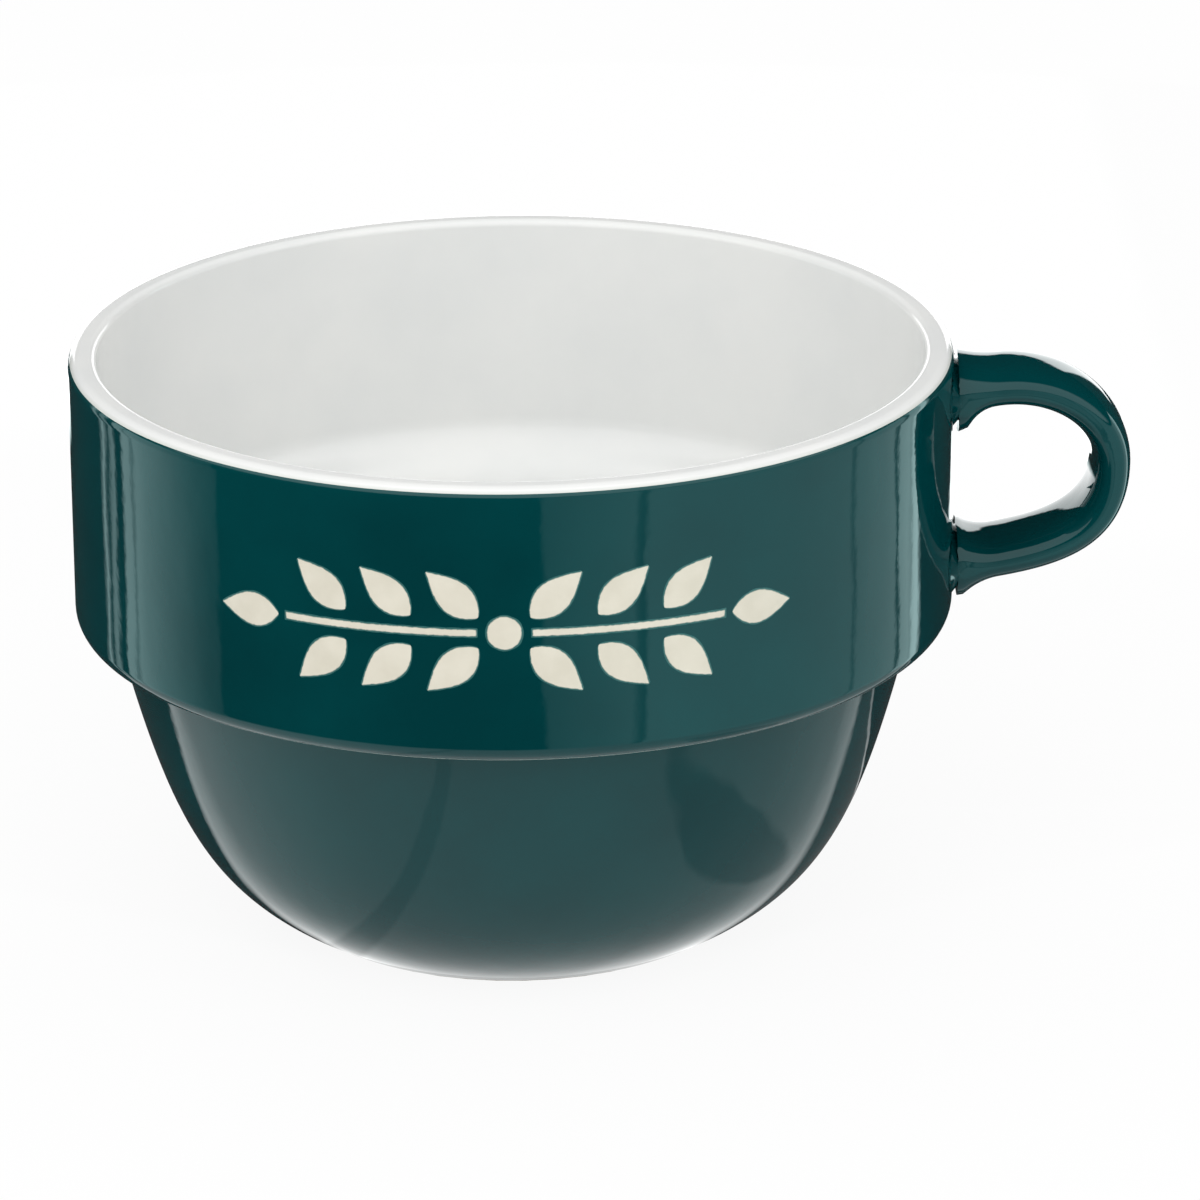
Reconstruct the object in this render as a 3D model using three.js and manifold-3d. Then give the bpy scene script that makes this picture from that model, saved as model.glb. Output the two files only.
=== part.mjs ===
// Stacking breakfast mug in stoneware: a bowl that steps out into a straight band, a looped handle luted
// to the band, a white glaze on the lip and inside, a dark green glaze outside, and a cream slip sprig
// inlaid in the green. Millimetres, +Z up. The origin is the centre of the foot, on the table, and the
// handle points along +X.
import * as THREE from "three";
import { mergeVertices } from "three/addons/utils/BufferGeometryUtils.js";
import Module from "manifold-3d";

// Bowl, ledge and band. Heights and radii are of the finished, glazed surface.
const BOWL_HEIGHT = 43.2; // table to the flat underside of the stacking ledge
const BAND_HEIGHT = 37.6; // ledge to the top of the lip
const RIM_RADIUS = 60; // outside of the band
const BAND_WALL = 3.9; // wall of the band, glaze to glaze
const LIP_ROUND = 1.7; // outer edge of the lip
const LIP_INNER_ROUND = 1; // its edge towards the inside
const WHITE_EDGE = 0.75; // the white glaze laps this far down over the lip
const LEDGE_DEPTH = 5.25; // the bowl starts this far in from the band
const LEDGE_ROUND = 2.5; // lower edge of the band
const LEDGE_FILLET = 1.2; // hollow between ledge and bowl
const LEDGE_WALL = 3.8; // ledge underside up to the middle of the inner shoulder
const SHOULDER_HEIGHT = 9; // the inner shoulder runs from the band's wall to the bowl's over this height
const BOWL_WALL = 4.4; // wall at the top of the bowl
const BOWL_LEAN = THREE.MathUtils.degToRad(13.6); // the bowl's side off the vertical, under the ledge
const FOOT_RADIUS = 31.3; // where the glaze ends at the foot
const FOOT_RISE = THREE.MathUtils.degToRad(29.5); // slope of the bowl where it leaves the foot
const FOOT_LIFT = 0.5; // the glaze stops this far above the table
const FOOT_SETBACK = 1; // the bare foot stands in from the glaze by this much
const FLOOR = 5; // table to the glazed floor inside
const FLOOR_RADIUS = 20; // flat part of the floor
const GLAZE = 0.5; // coat on every glazed face
const BOND = 0.05; // clearance between a coat or a luted face and the clay behind it

// Handle: a strap bent into an ear, swelling into a flat root at each end.
const HANDLE_REACH = 24.35; // band to the outside of the loop
const HANDLE_WIDTH = 14.7; // strap, across the loop
const HANDLE_THICKNESS = 5.3; // strap, in the plane of the loop
const UPPER_ROOT_DROP = 7.75; // lip to the middle of the upper root
const LOWER_ROOT_RISE = 5.8; // ledge to the middle of the lower root
const UPPER_CLIMB = 4.1; // the upper run sets off rising towards a point this far above its root
const LOWER_CLIMB = 1.5; // the lower run sets off rising towards a point this far above its root
const ROOT_STANDOFF = 1.05; // luting slip between the band and the flat of the root
const ROOT_HEIGHT = 9.3; // flat of the root
const ROOT_WIDTH = 15.6;
const ROOT_FLARE = 5; // length of strap over which the root swells
const SLIP_SETBACK = 1.2; // the slip stops this far inside the root's edge
const FIT_GAP = 0.3; // clearance round what is let into the green glaze

// Sprig: a berry with a leafy twig on each side, wrapped round the band.
const SPRIG_AZIMUTH = THREE.MathUtils.degToRad(-93); // from the handle
const LEAF_PAIRS = 3; // on each twig
const LEAF_LENGTH = 9;
const LEAF_WIDTH = 5;
const LEAF_ANGLE = THREE.MathUtils.degToRad(42); // off the twig
const LEAF_SPACING = 0.9; // between neighbouring leaves
const LEAF_OFFSET = 1.4; // twig's edge to the foot of a leaf
const TWIG_WIDTH = 1.4;
const BERRY_DIAMETER = 5;
const SLIP_GAP = 0.9; // between the inlaid patches
const BLUNT_TIP = 0.25; // half-width left at the ends of a leaf
const INLAY_RECESS = 0.1; // the slip lies this far below the green

// How finely the curves are cut.
const TURNS = 48; // round the axis
const BOWL_STEPS = 6;
const SHOULDER_STEPS = 4;
const ROUND_STEPS = 3; // per quarter turn
const LOOP_STEPS = 22;
const STRAP_SIDES = 14;
const LEAF_STEPS = 6;

// Shapes of the freehand curves, as shares of the span they cross.
const BOWL_FULLNESS = 0.66; // how long the bowl's side stays straight, of its height
const FOOT_FULLNESS = 0.6; // how long the bowl's base stays straight, of the step from foot to ledge
const LOOP_BELLY = 0.59; // height of the loop's outermost point between the roots
const RUN_PULL = 0.5; // of the distance from root to belly
const BELLY_PULL = 0.81; // of the height from belly to root
const STRAP_POWER = 2.6; // roundness of the strap's section: 2 is an ellipse
const SPRIG_RISE = 0.48; // height of the twigs on the band
const LEAF_SWELL = 0.8; // under 1 the leaf is widest towards its foot

const height = BOWL_HEIGHT + BAND_HEIGHT;
const clayRadius = RIM_RADIUS - GLAZE;
const wasm = await Module();
wasm.setup();

// Solids for joining and cutting, and back again.
function solidFrom(geometry) {
  const bare = geometry.clone();
  bare.deleteAttribute("normal");
  bare.deleteAttribute("uv");
  const merged = mergeVertices(bare, 1e-4);
  return new wasm.Manifold(
    new wasm.Mesh({
      numProp: 3,
      vertProperties: merged.attributes.position.array,
      triVerts: new Uint32Array(merged.index.array),
    }),
  );
}

function geometryFrom(solid) {
  const mesh = solid.getMesh();
  const geometry = new THREE.BufferGeometry();
  geometry.setAttribute("position", new THREE.BufferAttribute(mesh.vertProperties, 3));
  geometry.setIndex(new THREE.BufferAttribute(mesh.triVerts, 1));
  geometry.computeVertexNormals();
  return geometry;
}

function geometryOf(points, triangles) {
  const geometry = new THREE.BufferGeometry().setFromPoints(points);
  geometry.setIndex(triangles);
  geometry.computeVertexNormals();
  return geometry;
}

// A profile of (radius, height) points turned once round the Z axis.
function turned(profile) {
  return new THREE.LatheGeometry(profile, TURNS).rotateX(Math.PI / 2);
}

const point = (radius, z) => new THREE.Vector2(radius, z);

function arc(centre, radius, from, to) {
  const clockwise = to < from;
  const steps = Math.ceil((ROUND_STEPS * Math.abs(to - from)) / (Math.PI / 2));
  return new THREE.EllipseCurve(centre.x, centre.y, radius, radius, from, to, clockwise).getPoints(steps);
}

// A curve between two points that leaves and arrives along given directions.
function eased(start, leaving, end, arriving, steps) {
  const curve = new THREE.CubicBezierCurve(start, start.clone().add(leaving), end.clone().sub(arriving), end);
  return curve.getPoints(steps);
}

const direction = (angle, length) => point(length * Math.cos(angle), length * Math.sin(angle));

// The outside of the bowl, the ledge and the band, from the foot up to the edge of the white glaze.
function outerSkin(lipRound) {
  const bowlTop = point(RIM_RADIUS - LEDGE_DEPTH, BOWL_HEIGHT);
  const hollow = point(
    bowlTop.x + (LEDGE_FILLET * (1 - Math.sin(BOWL_LEAN))) / Math.cos(BOWL_LEAN),
    BOWL_HEIGHT - LEDGE_FILLET,
  );
  const under = arc(hollow, LEDGE_FILLET, Math.PI - BOWL_LEAN, Math.PI / 2);
  const foot = point(FOOT_RADIUS, FOOT_LIFT);
  const side = direction(Math.PI / 2 - BOWL_LEAN, BOWL_FULLNESS * BOWL_HEIGHT);
  const base = direction(FOOT_RISE, FOOT_FULLNESS * (bowlTop.x - FOOT_RADIUS));
  const bowl = eased(foot, base, under[0], side, BOWL_STEPS);
  const edge = point(RIM_RADIUS - LEDGE_ROUND, BOWL_HEIGHT + LEDGE_ROUND);
  const lip = point(RIM_RADIUS - lipRound, height - lipRound);
  const whiteLine = Math.asin(1 - WHITE_EDGE / lipRound);
  return [
    ...bowl,
    ...under.slice(1),
    ...arc(edge, LEDGE_ROUND, -Math.PI / 2, 0),
    ...arc(lip, lipRound, 0, whiteLine),
  ];
}

// The lip and the inside, from the edge of the white glaze over the lip and down to the middle of the floor.
function innerSkin(lipRound, innerRound) {
  const wall = RIM_RADIUS - BAND_WALL;
  const whiteLine = Math.asin(1 - WHITE_EDGE / lipRound);
  const outerLip = point(RIM_RADIUS - lipRound, height - lipRound);
  const innerLip = point(wall + innerRound, height - innerRound);
  const shoulderMiddle = BOWL_HEIGHT + LEDGE_WALL;
  const shoulderTop = point(wall, shoulderMiddle + SHOULDER_HEIGHT / 2);
  const bowlTop = point(RIM_RADIUS - LEDGE_DEPTH - BOWL_WALL, shoulderMiddle - SHOULDER_HEIGHT / 2);
  const floorEdge = point(FLOOR_RADIUS, FLOOR);
  const down = direction(-Math.PI / 2, SHOULDER_HEIGHT / 2);
  const leaning = (length) => direction(-Math.PI / 2 - BOWL_LEAN, length);
  const side = leaning(BOWL_FULLNESS * (bowlTop.y - FLOOR));
  const base = direction(Math.PI, FOOT_FULLNESS * (bowlTop.x - FLOOR_RADIUS));
  return [
    ...arc(outerLip, lipRound, whiteLine, Math.PI / 2),
    ...arc(innerLip, innerRound, Math.PI / 2, Math.PI),
    ...eased(shoulderTop, down, bowlTop, leaning(SHOULDER_HEIGHT / 2), SHOULDER_STEPS),
    ...eased(bowlTop, side, floorEdge, base, BOWL_STEPS).slice(1),
    point(0, FLOOR),
  ];
}

// The line moved sideways to its left, which is into the clay on both skins.
function movedIn(line, distance) {
  return line.map((here, i) => {
    const before = line[Math.max(i - 1, 0)];
    const after = line[Math.min(i + 1, line.length - 1)];
    const along = after.clone().sub(before).normalize();
    return point(Math.max(here.x - along.y * distance, 0), here.y + along.x * distance);
  });
}

// Neighbouring points of a line that fall together are kept once.
function tidied(line) {
  return line.filter((here, i) => i === 0 || here.distanceTo(line[i - 1]) > 1e-6);
}

// A closed solid lofted through rings of points, with flat ends, or a sleeve where inner rings are given.
function lofted(rings, innerRings) {
  const sides = rings[0].length;
  const last = rings.length - 1;
  const points = [...rings.flat(), ...(innerRings ? innerRings.flat() : [])];
  const inner = rings.length * sides;
  const triangles = [];
  const quad = (a, b, c, d) => triangles.push(a, b, d, b, c, d);
  for (let i = 0; i < sides; i++) {
    const j = (i + 1) % sides;
    for (let k = 0; k < last; k++) {
      const row = k * sides;
      quad(row + i, row + j, row + sides + j, row + sides + i);
      if (innerRings) {
        quad(inner + row + i, inner + row + sides + i, inner + row + sides + j, inner + row + j);
      }
    }
    const end = last * sides;
    if (innerRings) {
      quad(j, i, inner + i, inner + j);
      quad(end + i, end + j, inner + end + j, inner + end + i);
    } else if (i > 0 && j > 0) {
      triangles.push(0, j, i, end, end + i, end + j);
    }
  }
  return geometryOf(points, triangles);
}

// Wall and lining. The lip's rounds can't be wider than half the wall that carries them.
const lipRound = Math.min(LIP_ROUND, BAND_WALL / 2);
const innerRound = Math.min(LIP_INNER_ROUND, BAND_WALL / 2);
const outside = tidied(outerSkin(lipRound));
const skin = tidied([...outside, ...innerSkin(lipRound, innerRound)]);
const clay = movedIn(skin, GLAZE);
const behindGlaze = movedIn(skin, GLAZE - BOND);
const whiteStart = outside.length - 1;

function coat(from, to) {
  const back = behindGlaze.slice(from, to).reverse();
  return turned([...skin.slice(from, to), ...back, skin[from]]);
}

function bodyGeometry() {
  return turned([point(0, 0), point(FOOT_RADIUS - FOOT_SETBACK, 0), ...clay]);
}

// Handle: stations along the middle of the strap, with the section swelling towards both roots.
const rootX = RIM_RADIUS + ROOT_STANDOFF;
const upperRoot = height - UPPER_ROOT_DROP;
const lowerRoot = BOWL_HEIGHT + LOWER_ROOT_RISE;

function loopPath() {
  const bellyX = RIM_RADIUS + HANDLE_REACH - HANDLE_THICKNESS / 2;
  const bellyZ = lowerRoot + LOOP_BELLY * (upperRoot - lowerRoot);
  const run = RUN_PULL * (bellyX - rootX);
  const at = (x, z) => new THREE.Vector3(x, 0, z);
  const path = new THREE.CurvePath();
  path.add(
    new THREE.CubicBezierCurve3(
      at(rootX, upperRoot),
      at(rootX + run, upperRoot + UPPER_CLIMB),
      at(bellyX, bellyZ + BELLY_PULL * (upperRoot - bellyZ)),
      at(bellyX, bellyZ),
    ),
  );
  path.add(
    new THREE.CubicBezierCurve3(
      at(bellyX, bellyZ),
      at(bellyX, bellyZ - BELLY_PULL * (bellyZ - lowerRoot)),
      at(rootX + run, lowerRoot + LOWER_CLIMB),
      at(rootX, lowerRoot),
    ),
  );
  return path;
}

// Rings of the strap's surface, let in by a depth. The first and last lie flat on the root's plane.
function strapRings(path, depth) {
  const length = path.getLength();
  const rings = [];
  for (let k = 0; k <= LOOP_STEPS; k++) {
    const share = k / LOOP_STEPS;
    const middle = path.getPointAt(share);
    const along = path.getTangentAt(share);
    const toRoot = length * Math.min(share, 1 - share);
    const swell = Math.max(1 - toRoot / ROOT_FLARE, 0) ** 2;
    const halfWidth = THREE.MathUtils.lerp(HANDLE_WIDTH, ROOT_WIDTH, swell) / 2 - depth;
    const halfThickness = THREE.MathUtils.lerp(HANDLE_THICKNESS, ROOT_HEIGHT, swell) / 2 - depth;
    const atRoot = k === 0 || k === LOOP_STEPS;
    const outward = atRoot
      ? new THREE.Vector3(0, 0, k === 0 ? 1 : -1)
      : new THREE.Vector3(-along.z, 0, along.x);
    rings.push(strapSection(middle, outward, halfWidth, halfThickness));
  }
  return rings;
}

function strapSection(middle, outward, halfWidth, halfThickness) {
  const rounded = (value) => Math.sign(value) * Math.abs(value) ** (2 / STRAP_POWER);
  const ring = [];
  for (let i = 0; i < STRAP_SIDES; i++) {
    const angle = (2 * Math.PI * i) / STRAP_SIDES;
    const spot = middle.clone().addScaledVector(outward, halfThickness * rounded(Math.sin(angle)));
    spot.y = halfWidth * rounded(Math.cos(angle));
    ring.push(spot);
  }
  return ring;
}

// The slip under a root, from inside the wall out to the flat of the root, grown by a clearance.
function slipBlock(rootZ, clearance, outerX) {
  const outline = new THREE.Shape();
  const halfWidth = ROOT_WIDTH / 2 - SLIP_SETBACK + clearance;
  const halfHeight = ROOT_HEIGHT / 2 - SLIP_SETBACK + clearance;
  outline.absellipse(0, 0, halfWidth, halfHeight, 0, 2 * Math.PI);
  const startX = clayRadius - BAND_WALL / 2;
  const block = new THREE.ExtrudeGeometry(outline, {
    depth: outerX - startX,
    bevelEnabled: false,
    curveSegments: STRAP_SIDES,
  });
  block.rotateX(Math.PI / 2).rotateZ(Math.PI / 2);
  return solidFrom(block.translate(startX, 0, rootZ));
}

function wallBehindSlip() {
  const radius = clayRadius + BOND;
  return solidFrom(turned([point(0, 0), point(radius, 0), point(radius, height), point(0, height)]));
}

// Sprig. A patch is laid out flat, s along the band and h up it, then wrapped between two radii.
const sprigZ = BOWL_HEIGHT + SPRIG_RISE * BAND_HEIGHT;

function wrapped(s, h, radius) {
  const azimuth = SPRIG_AZIMUTH + s / RIM_RADIUS;
  return new THREE.Vector3(radius * Math.cos(azimuth), radius * Math.sin(azimuth), sprigZ + h);
}

// A patch runs from its foot in a direction, and halfWidth(share of the length) gives its outline.
function patchGeometry(patch, clearance, innerRadius, outerRadius) {
  const cos = Math.cos(patch.angle);
  const sin = Math.sin(patch.angle);
  const length = patch.length + 2 * clearance;
  const rings = [];
  for (let k = 0; k <= patch.steps; k++) {
    const share = k / patch.steps;
    const along = share * length - clearance;
    const half = patch.halfWidth(share) + clearance;
    const place = (across, radius) =>
      wrapped(patch.s + along * cos - across * sin, patch.h + along * sin + across * cos, radius);
    const ring = [half, 0, -half].map((across) => place(across, outerRadius));
    ring.push(...[-half, 0, half].map((across) => place(across, innerRadius)));
    rings.push(ring);
  }
  return lofted(rings);
}

const leafOutline = (share) => {
  const swollen = Math.sin(Math.PI * share ** LEAF_SWELL);
  return BLUNT_TIP + (LEAF_WIDTH / 2 - BLUNT_TIP) * swollen;
};

const berryOutline = (share) => {
  const round = Math.sqrt(1 - (2 * share - 1) ** 2);
  return BLUNT_TIP + (BERRY_DIAMETER / 2 - BLUNT_TIP) * round;
};

function leaf(name, s, h, angle) {
  return { name, s, h, angle, length: LEAF_LENGTH, halfWidth: leafOutline, steps: LEAF_STEPS };
}

// One twig to the side given by its sign: pairs of leaves along it and one leaf at its end.
function twig(side, sign) {
  const pitch = (LEAF_WIDTH + LEAF_SPACING) / Math.sin(LEAF_ANGLE);
  const start = BERRY_DIAMETER / 2 + SLIP_GAP;
  const length = LEAF_PAIRS * pitch;
  const turnedTo = (angle) => (sign > 0 ? angle : Math.PI - angle);
  const patches = [
    {
      name: side + "_twig",
      s: sign * start,
      h: 0,
      angle: turnedTo(0),
      length,
      halfWidth: () => TWIG_WIDTH / 2,
      steps: 4 * LEAF_PAIRS,
    },
    leaf(side + "_end_leaf", sign * (start + length + SLIP_GAP), 0, turnedTo(0)),
  ];
  const offTwig = TWIG_WIDTH / 2 + LEAF_OFFSET;
  for (let pair = 0; pair < LEAF_PAIRS; pair++) {
    const s = sign * (start + pair * pitch);
    patches.push(leaf(`${side}_upper_leaf_${pair + 1}`, s, offTwig, turnedTo(LEAF_ANGLE)));
    patches.push(leaf(`${side}_lower_leaf_${pair + 1}`, s, -offTwig, turnedTo(-LEAF_ANGLE)));
  }
  return patches;
}

const berry = {
  name: "berry",
  s: -BERRY_DIAMETER / 2,
  h: 0,
  angle: 0,
  length: BERRY_DIAMETER,
  halfWidth: berryOutline,
  steps: 2 * LEAF_STEPS,
};
const sprig = [berry, ...twig("left", -1), ...twig("right", 1)];

// The green coat, with windows for the sprig and for the slip under the handle's roots.
function greenCoat() {
  let solid = solidFrom(coat(0, whiteStart + 1));
  for (const rootZ of [upperRoot, lowerRoot]) {
    solid = solid.subtract(slipBlock(rootZ, FIT_GAP, rootX));
  }
  for (const patch of sprig) {
    const window = patchGeometry(patch, FIT_GAP, clayRadius - GLAZE, RIM_RADIUS + GLAZE);
    solid = solid.subtract(solidFrom(window));
  }
  return geometryFrom(solid);
}

// The finished mug, piece by piece.
const stoneware = new THREE.MeshStandardMaterial({ color: 0xe3dccb, roughness: 0.8, metalness: 0 });
const greenGlaze = new THREE.MeshStandardMaterial({ color: 0x003a3c, roughness: 0.08, metalness: 0 });
const whiteGlaze = new THREE.MeshStandardMaterial({ color: 0xe6e8e7, roughness: 0.12, metalness: 0 });
const creamSlip = new THREE.MeshStandardMaterial({ color: 0xe8e2d2, roughness: 0.35, metalness: 0 });

const mug = new THREE.Group();
mug.name = "breakfast_mug";

function add(name, geometry, material) {
  const mesh = new THREE.Mesh(geometry, material);
  mesh.name = name;
  mug.add(mesh);
}

add("mug_body", bodyGeometry(), stoneware);
add("inner_glaze", coat(whiteStart, skin.length), whiteGlaze);
add("outer_glaze", greenCoat(), greenGlaze);

const path = loopPath();
add("handle", lofted(strapRings(path, GLAZE)), stoneware);
add("handle_glaze", lofted(strapRings(path, 0), strapRings(path, GLAZE - BOND)), greenGlaze);

const wall = wallBehindSlip();
add("upper_luting_slip", geometryFrom(slipBlock(upperRoot, 0, rootX - BOND).subtract(wall)), greenGlaze);
add("lower_luting_slip", geometryFrom(slipBlock(lowerRoot, 0, rootX - BOND).subtract(wall)), greenGlaze);

for (const patch of sprig) {
  add(patch.name, patchGeometry(patch, 0, clayRadius + BOND, RIM_RADIUS - INLAY_RECESS), creamSlip);
}

export default mug;
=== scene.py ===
# A stacking breakfast mug in glazed stoneware, on a pale studio table. Metres, in the frame of the CAD
# model: the origin is the middle of the foot, +Z is up and the handle points along +X.
import math

import bpy
from mathutils import Matrix, Vector


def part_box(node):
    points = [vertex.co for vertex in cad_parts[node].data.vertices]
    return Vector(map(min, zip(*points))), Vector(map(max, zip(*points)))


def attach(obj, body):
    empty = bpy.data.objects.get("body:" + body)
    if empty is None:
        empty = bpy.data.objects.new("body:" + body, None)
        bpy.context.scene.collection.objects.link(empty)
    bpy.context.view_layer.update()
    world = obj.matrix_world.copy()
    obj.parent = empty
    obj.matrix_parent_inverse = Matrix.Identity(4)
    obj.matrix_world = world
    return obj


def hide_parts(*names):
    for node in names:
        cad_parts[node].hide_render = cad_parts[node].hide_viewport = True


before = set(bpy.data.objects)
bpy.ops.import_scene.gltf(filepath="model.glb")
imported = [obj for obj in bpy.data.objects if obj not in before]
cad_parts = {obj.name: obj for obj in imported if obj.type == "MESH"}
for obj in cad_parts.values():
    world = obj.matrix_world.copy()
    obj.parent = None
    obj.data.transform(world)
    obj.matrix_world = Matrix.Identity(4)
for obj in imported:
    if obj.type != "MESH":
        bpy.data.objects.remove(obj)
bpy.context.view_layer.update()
MM = 0.001

# Body and strap core. Both are cream stoneware, the body jiggered and the strap pulled, fired to a dry,
# finely speckled biscuit. The glazes cover all of it but the foot, so the CAD solids stay as they are.


def new_material(name, roughness):
    made = bpy.data.materials.new(name)
    made.use_nodes = True
    shader = made.node_tree.nodes["Principled BSDF"]
    shader.inputs["Roughness"].default_value = roughness
    return made, made.node_tree, shader


def add_node(tree, kind, inputs=None, **settings):
    node = tree.nodes.new(kind)
    for key, value in settings.items():
        setattr(node, key, value)
    for key, value in (inputs or {}).items():
        if isinstance(value, bpy.types.NodeSocket):
            tree.links.new(value, node.inputs[key])
        else:
            node.inputs[key].default_value = value
    return node


def object_place(tree):
    return add_node(tree, "ShaderNodeTexCoord").outputs["Object"]


def noise(tree, place, per_metre, detail=2.0):
    inputs = {"Vector": place, "Scale": per_metre, "Detail": detail}
    return add_node(tree, "ShaderNodeTexNoise", inputs).outputs["Fac"]


def mapped(tree, value, low, high, to_low=0.0, to_high=1.0):
    inputs = {"Value": value, "From Min": low, "From Max": high, "To Min": to_low, "To Max": to_high}
    return add_node(tree, "ShaderNodeMapRange", inputs).outputs["Result"]


def blended(tree, share, first, second):
    node = add_node(tree, "ShaderNodeMix", data_type="RGBA")
    for index, value in ((0, share), (6, first), (7, second)):
        if isinstance(value, bpy.types.NodeSocket):
            tree.links.new(value, node.inputs[index])
        else:
            node.inputs[index].default_value = value
    return node.outputs[2]


def bumped(tree, shader, height, depth, below=None):
    inputs = {"Height": height, "Distance": depth, "Strength": 1.0}
    if below:
        inputs["Normal"] = below
    normal = add_node(tree, "ShaderNodeBump", inputs).outputs["Normal"]
    tree.links.new(normal, shader.inputs["Normal"])
    return normal


def stoneware_material():
    made, tree, shader = new_material("stoneware", 0.85)
    place = object_place(tree)
    clay = blended(tree, noise(tree, place, 350, 4), (0.66, 0.59, 0.47, 1), (0.82, 0.77, 0.66, 1))
    speck = mapped(tree, noise(tree, place, 1400), 0.66, 0.72)
    tree.links.new(blended(tree, speck, clay, (0.36, 0.28, 0.2, 1)), shader.inputs["Base Color"])
    bumped(tree, shader, noise(tree, place, 2500, 4), 0.04 * MM)
    return made


stoneware = stoneware_material()
for name in ("mug_body", "handle"):
    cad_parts[name].data.materials.clear()
    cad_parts[name].data.materials.append(stoneware)

# Green glaze outside: one dipped coat from the foot over the bowl, the stacking ledge and the band to
# just under the lip. It is turned from the mug's own profile, a hair inside the CAD coat on the band. It
# runs thin and pale on the ledge's edge, with a painted highlight on top, and a painted sheen makes it
# paler just under the lip.

RIM_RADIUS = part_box("outer_glaze")[1].y
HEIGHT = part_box("inner_glaze")[1].z
LEDGE_HEIGHT = 43.2 * MM
LEDGE_DEPTH = 5.25 * MM
LEDGE_ROUND = 2.5 * MM
LEDGE_FILLET = 1.2 * MM
LEDGE_SAG = 0.3 * MM
THIN_EDGE_HIGHLIGHT = 0.3 * MM
THIN_EDGE_HIGHLIGHT_REACH = 3.2 * MM
THIN_EDGE_HIGHLIGHT_FADE = 0.6 * MM
BOWL_LEAN = math.radians(13.6)
BOWL_FULLNESS = 0.66
FOOT_RADIUS = 31.3 * MM
FOOT_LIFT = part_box("outer_glaze")[0].z
FOOT_RISE = math.radians(29.5)
FOOT_FULLNESS = 0.6
LIP_ROUND = 1.7 * MM
WHITE_EDGE = 0.75 * MM
LIP_SHEEN_REACH = 1.3 * MM
GLAZE = 0.45 * MM
BAND_INSET = 0.05 * MM
BOWL_STEPS = 40
FILLET_STEPS = 10
ROUND_STEPS = 14
LIP_STEPS = 8
WALL_STEPS = 16
TURNS = 176
WELD = 0.002 * MM
SMOOTH_BELOW = math.radians(40)


def arc(centre, radius, start, end, steps):
    angles = [start + (end - start) * k / steps for k in range(steps + 1)]
    return [centre + radius * Vector((math.cos(a), math.sin(a))) for a in angles]


def along(angle, length):
    return length * Vector((math.cos(angle), math.sin(angle)))


def eased(start, leaving, end, arriving, steps):
    bend = (start, start + leaving, end - arriving, end)
    line = []
    for k in range(steps + 1):
        t = k / steps
        weights = ((1 - t) ** 3, 3 * t * (1 - t) ** 2, 3 * t * t * (1 - t), t ** 3)
        line.append(sum((w * p for w, p in zip(weights, bend)), Vector((0, 0))))
    return line


def moved_in(line, distance):
    moved = []
    for i, here in enumerate(line):
        way = (line[min(i + 1, len(line) - 1)] - line[max(i - 1, 0)]).normalized()
        moved.append(Vector((max(here.x - way.y * distance, 0), here.y + way.x * distance)))
    return moved


def start_mesh(add, **settings):
    bpy.ops.object.select_all(action="DESELECT")
    add(**settings)
    return bpy.context.object


def turned(name, profile, turns):
    piece = start_mesh(bpy.ops.mesh.primitive_plane_add, size=MM)
    piece.name = name
    bpy.ops.object.mode_set(mode="EDIT")
    bpy.ops.mesh.select_all(action="SELECT")
    bpy.ops.mesh.merge(type="CENTER")
    bpy.ops.transform.translate(value=(profile[0].x, 0, profile[0].y))
    for before, after in zip(profile, profile[1:]):
        step = after - before
        bpy.ops.mesh.extrude_region_move(TRANSFORM_OT_translate={"value": (step.x, 0, step.y)})
    bpy.ops.mesh.select_all(action="SELECT")
    bpy.ops.mesh.spin(steps=turns, angle=2 * math.pi, center=(0, 0, 0), axis=(0, 0, 1))
    close_mesh()
    return piece


def close_mesh():
    bpy.ops.mesh.select_all(action="SELECT")
    bpy.ops.mesh.remove_doubles(threshold=WELD)
    bpy.ops.mesh.normals_make_consistent(inside=False)
    bpy.ops.object.mode_set(mode="OBJECT")
    bpy.ops.object.shade_smooth_by_angle(angle=SMOOTH_BELOW)


def dress(piece, material, slot, *nodes):
    piece.data.materials.clear()
    piece.data.materials.append(material)
    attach(piece, "root")
    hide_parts(*nodes)


def outer_skin():
    band = RIM_RADIUS - BAND_INSET
    ledge_z = LEDGE_HEIGHT - LEDGE_SAG
    bowl_top = Vector((RIM_RADIUS - LEDGE_DEPTH, ledge_z))
    reach = LEDGE_FILLET * (1 - math.sin(BOWL_LEAN)) / math.cos(BOWL_LEAN)
    hollow = Vector((bowl_top.x + reach, ledge_z - LEDGE_FILLET))
    under = arc(hollow, LEDGE_FILLET, math.pi - BOWL_LEAN, math.pi / 2, FILLET_STEPS)
    side = along(math.pi / 2 - BOWL_LEAN, BOWL_FULLNESS * LEDGE_HEIGHT)
    base = along(FOOT_RISE, FOOT_FULLNESS * (bowl_top.x - FOOT_RADIUS))
    foot = Vector((FOOT_RADIUS, FOOT_LIFT))
    edge = Vector((band - LEDGE_ROUND, ledge_z + LEDGE_ROUND))
    lip = Vector((band - LIP_ROUND, HEIGHT - LIP_ROUND))
    white_line = math.asin(1 - WHITE_EDGE / LIP_ROUND)
    line = eased(foot, base, under[0], side, BOWL_STEPS) + under[1:]
    ledge = arc(edge, LEDGE_ROUND, -math.pi / 2, 0, ROUND_STEPS)
    top = arc(lip, LIP_ROUND, 0, white_line, LIP_STEPS)
    wall = [ledge[-1].lerp(top[0], k / WALL_STEPS) for k in range(1, WALL_STEPS)]
    return line + ledge + wall + top


def glaze_waves(tree, shader, place, depth):
    stretch = add_node(tree, "ShaderNodeMapping", {"Vector": place, "Scale": (1, 1, 0.35)})
    waves = bumped(tree, shader, noise(tree, stretch.outputs["Vector"], 140, 1), depth)
    return bumped(tree, shader, noise(tree, place, 500, 2), depth / 8, waves)


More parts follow.
